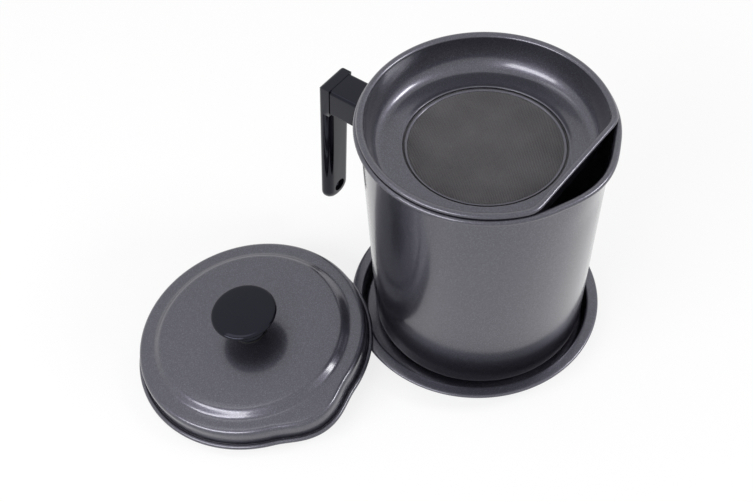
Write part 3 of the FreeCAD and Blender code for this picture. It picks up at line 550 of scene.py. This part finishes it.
# the plate, narrower and leaning out at its foot
bpy.ops.object.select_all(action="DESELECT")
bpy.ops.mesh.primitive_cube_add(size=1, location=(0, 0, 0))
gripPiece = bpy.context.object
gripPiece.name = "side_handle"
bpy.ops.object.mode_set(mode="EDIT")
bpy.ops.mesh.select_all(action="SELECT")
bpy.ops.transform.resize(
    value=(grip["thick"] * mm, grip["topWide"] * mm, (grip["top"] - grip["foot"]) * mm))
bpy.ops.transform.translate(value=((grip["thick"] / 2 - grip["out"]) * mm, 0,
                                   (grip["top"] + grip["foot"]) / 2 * mm))
selectParts(gripPiece, "FACE", lambda face: face.normal.z < -squareOn)
bpy.ops.transform.translate(value=(-grip["lean"] * mm, 0, 0))
bpy.ops.transform.resize(value=(1, grip["footWide"] / grip["topWide"], 1))
selectParts(gripPiece, "EDGE",
            lambda edge: edgeRuns(edge, 0) and edgeMiddle(edge).z < grip["foot"] + 1)
roundEdges(grip["footRound"], 9)
# a level cut under the arm, then the arm grows out of the face above it and ends upright
armStart = grip["thick"] - grip["out"]
plateCut = grip["armLow"] - grip["armStep"]
bpy.ops.mesh.select_all(action="SELECT")
bpy.ops.mesh.bisect(plane_co=(0, 0, plateCut * mm), plane_no=(0, 0, 1))
selectParts(gripPiece, "FACE", lambda face: face.normal.x > squareOn
            and face.calc_center_median().z > grip["armLow"] * mm)
bpy.ops.mesh.inset(thickness=grip["armStep"] * mm)
bpy.ops.mesh.extrude_region_move(
    TRANSFORM_OT_translate={"value": ((-grip["armEnd"] - armStart) * mm, 0, 0)})
bpy.ops.transform.resize(value=(0, 1, 1), center_override=(-grip["armEnd"] * mm, 0, 0))
selectParts(gripPiece, "EDGE",
            lambda edge: edgeRuns(edge, 0) and edgeMiddle(edge).x > armStart + grip["thick"])
roundEdges(grip["armRound"], 4)
selectParts(gripPiece, "FACE", lambda face: face.normal.x < -squareOn)
bpy.ops.mesh.region_to_loop()
roundEdges(grip["outRound"], 5)
# the plate's inner edges below the arm
selectParts(gripPiece, "EDGE", lambda edge: edge.is_convex and edge.calc_face_angle() > sharpFrom
            and max(face.normal.x for face in edge.link_faces) > squareOn
            and edgeMiddle(edge).z < plateCut - 0.1)
roundEdges(grip["inRound"], 4)
bpy.ops.object.mode_set(mode="OBJECT")
# ends of the bores along X: outside the plate, behind it, in the head's bore and in the tongue
outside, behindPlate, inHead, inTongue = -120, -80, -100, -70
cutAway(gripPiece, crossBore(grip["hangHeight"], grip["hangRadius"], outside, behindPlate))
cutAway(gripPiece, crossBore(grip["boltHeight"], grip["boltHead"], outside, -grip["boltSeat"]))
cutAway(gripPiece, crossBore(grip["boltHeight"], grip["boltShank"], inHead, inTongue))
cutAway(gripPiece, boxRoom(*grip["tongueRoom"]))
cutAway(gripPiece, boxRoom(*grip["saddleRoom"]))
applyModifier(gripPiece, "BEVEL", width=grip["rimRound"] * mm, segments=2, limit_method="ANGLE",
              angle_limit=math.radians(50))
finishPiece(gripPiece, glossResin, "pot", potPlace * Vector((1, 1, 0)))
bpy.ops.object.shade_smooth_by_angle(angle=math.radians(35))
applyModifier(gripPiece, "WEIGHTED_NORMAL", keep_sharp=True)
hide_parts("handle_grip")
print("handle made")

# the woven wire: one set of wires each way, turned by degrees; "wire" is a wire's radius
weave = {"radius": 42.2, "pitch": 0.75, "wire": 0.17, "wave": 0.1, "height": 127.33, "turn": 25.4}


def repeatAlong(piece, count, shift, merge):
    applyModifier(piece, "ARRAY", count=count, use_relative_offset=False, use_constant_offset=True,
                  constant_offset_displace=shift, use_merge_vertices=merge,
                  merge_threshold=0.01 * mm)


bpy.ops.object.select_all(action="DESELECT")
bpy.ops.mesh.primitive_circle_add(vertices=4, radius=weave["wire"] * mm, fill_type="NOTHING",
                                  location=(0, 0, 0), rotation=(0, math.radians(90), 0))
warp = bpy.context.object
warp.name = "warp_wires"
bpy.ops.object.transform_apply(rotation=True)
bpy.ops.object.mode_set(mode="EDIT")
bpy.ops.mesh.select_all(action="SELECT")
pairs = int(weave["radius"] / weave["pitch"] / 2) + 1  # of wires, on each side of the middle
step = weave["pitch"] / 2 * mm
wave = 4 * step
for rise in (1, -1, -1, 1):  # one wave of one wire
    bpy.ops.mesh.extrude_region_move(
        TRANSFORM_OT_translate={"value": (step, 0, rise * weave["wave"] * mm)})
faceOutwards()
bpy.ops.transform.translate(value=(-pairs * wave, -pairs * wave + step, 0))
bpy.ops.object.mode_set(mode="OBJECT")
# waves along a wire, then its neighbour half a wave on, then all the pairs, cut to a disc
repeatAlong(warp, pairs * 2 + 1, (wave, 0, 0), True)
repeatAlong(warp, 2, (-wave / 2, wave / 2, 0), False)
repeatAlong(warp, pairs * 2, (0, wave, 0), False)
bpy.ops.object.mode_set(mode="EDIT")
selectParts(warp, "VERT", lambda vert: math.hypot(vert.co.x, vert.co.y) > weave["radius"] * mm)
bpy.ops.mesh.delete(type="VERT")
bpy.ops.object.mode_set(mode="OBJECT")
selectOnly(warp)
bpy.ops.object.duplicate()
weft = bpy.context.object
weft.name = "weft_wires"
weaveMiddle = Matrix.Translation((0, potPlace.y, weave["height"] * mm))
for wires, turn in ((warp, weave["turn"]), (weft, weave["turn"] + 90)):
    finishPiece(wires, wireSteel, "strainer",
                weaveMiddle @ Matrix.Rotation(math.radians(turn), 4, "Z"))
    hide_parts("strainer_mesh")
print("woven wire made,", len(warp.data.polygons), "faces each way")

# the pressed rim of the mesh, with a narrow groove between it and the dish
meshRim = {"inner": 38.6, "outer": 40.1, "top": 0.62, "around": 128}
rimRings = ringsFrom(meshRim["inner"], meshRim["top"], [
    (0, -0.57), (0.1, -0.48), (0.5, -0.22), (1.0, 0)])
rimRings += ringsFrom(meshRim["outer"], meshRim["top"], [(-0.15, -0.04), (0, -0.22), (0, -0.57)])
rimPiece = turnShell("mesh_rim", rimRings, meshRim["around"])
openMiddle(rimPiece)
finishPiece(rimPiece, coatedSteel, "strainer", dishPlace, 1)
print("mesh rim made")

# the studio, in metres: a pale floor just under the tray, a white world and three lamps
studio = {"floorSize": 12, "floorDrop": 0.0002, "floorTone": (0.9, 0.9, 0.9, 1), "floorRough": 0.9,
          "floorWhite": 0.8, "worldStrength": 0.55, "worldWhite": 1.0}
lamps = (
    {"name": "frontPanel", "place": (-0.16, -0.96, 0.72), "aim": (0, 0, 0.07),
     "width": 0.9, "height": 0.35, "power": 8},
    {"name": "rightPanel", "place": (0.95, 0.75, 1.1), "aim": (0, 0, 0.1),
     "width": 0.6, "height": 0.3, "power": 10},
    {"name": "topPanel", "place": (-0.42, -0.14, 0.85), "aim": (-0.08, -0.1, 0),
     "width": 0.3, "height": 0.3, "power": 0.35})
camera = {"place": (0.2209, -0.3498, 0.5562), "view": (-0.4037, 0.4863, -0.7749), "roll": -3.0,
          "lens": 57.37, "sensor": 36, "shift": -0.0015, "nearest": 0.01}


def whiteForSight(tree, lit, whiteKind, share, output):
    # the camera, mirrors and glass see plain white by a share; all other rays meet the lit shader
    ray = addNode(tree, "ShaderNodeLightPath")
    cameraOrGlossy = addNode(tree, "ShaderNodeMath", operation="MAXIMUM")
    sight = addNode(tree, "ShaderNodeMath", operation="MAXIMUM")
    part = addNode(tree, "ShaderNodeMath", operation="MULTIPLY")
    part.inputs[1].default_value = share
    white = setInputs(addNode(tree, whiteKind), Color=(1, 1, 1, 1), Strength=1.0)
    mixer = addNode(tree, "ShaderNodeMixShader")
    joinSockets(tree, (
        (ray.outputs["Is Camera Ray"], cameraOrGlossy.inputs[0]),
        (ray.outputs["Is Glossy Ray"], cameraOrGlossy.inputs[1]),
        (cameraOrGlossy.outputs[0], sight.inputs[0]),
        (ray.outputs["Is Transmission Ray"], sight.inputs[1]),
        (sight.outputs[0], part.inputs[0]),
        (part.outputs[0], mixer.inputs[0]),
        (lit.outputs[0], mixer.inputs[1]),
        (white.outputs[0], mixer.inputs[2]),
        (mixer.outputs[0], output.inputs["Surface"])))


bpy.ops.object.select_all(action="DESELECT")
bpy.ops.mesh.primitive_plane_add(size=studio["floorSize"], location=(0, 0, -studio["floorDrop"]))
floor = bpy.context.object
floor.name = "studio_floor"
floorFinish = bpy.data.materials.new("paleFloor")
floorFinish.use_nodes = True
tree = floorFinish.node_tree
matt = tree.nodes["Principled BSDF"]
setInputs(matt, Base_Color=studio["floorTone"], Roughness=studio["floorRough"])
whiteForSight(tree, matt, "ShaderNodeEmission", studio["floorWhite"], tree.nodes["Material Output"])
floor.data.materials.append(floorFinish)

world = bpy.data.worlds.new("studioWorld")
bpy.context.scene.world = world
world.use_nodes = True
tree = world.node_tree
plain = setInputs(tree.nodes["Background"], Color=(1, 1, 1, 1), Strength=studio["worldStrength"])
whiteForSight(tree, plain, "ShaderNodeBackground", studio["worldWhite"], tree.nodes["World Output"])

for panel in lamps:
    bpy.ops.object.select_all(action="DESELECT")
    bpy.ops.object.light_add(type="AREA", location=panel["place"])
    lamp = bpy.context.object
    lamp.name = panel["name"]
    lamp.data.shape = "RECTANGLE"
    lamp.data.size = panel["width"]
    lamp.data.size_y = panel["height"]
    lamp.data.energy = panel["power"]
    aimed = (Vector(panel["aim"]) - Vector(panel["place"])).to_track_quat("-Z", "Y")
    lamp.rotation_euler = aimed.to_euler()

bpy.ops.object.select_all(action="DESELECT")
bpy.ops.object.camera_add(location=camera["place"])
shot = bpy.context.object
shot.name = "photoCamera"
shot.data.lens = camera["lens"]
shot.data.sensor_width = camera["sensor"]
shot.data.shift_x = camera["shift"]
shot.data.clip_start = camera["nearest"]
turnToView = Vector(camera["view"]).to_track_quat("-Z", "Y")
roll = Quaternion((0, 0, 1), math.radians(camera["roll"]))
shot.rotation_euler = (turnToView @ roll).to_euler()
bpy.context.scene.camera = shot
bpy.context.scene.view_settings.view_transform = "Standard"
print("stage made")
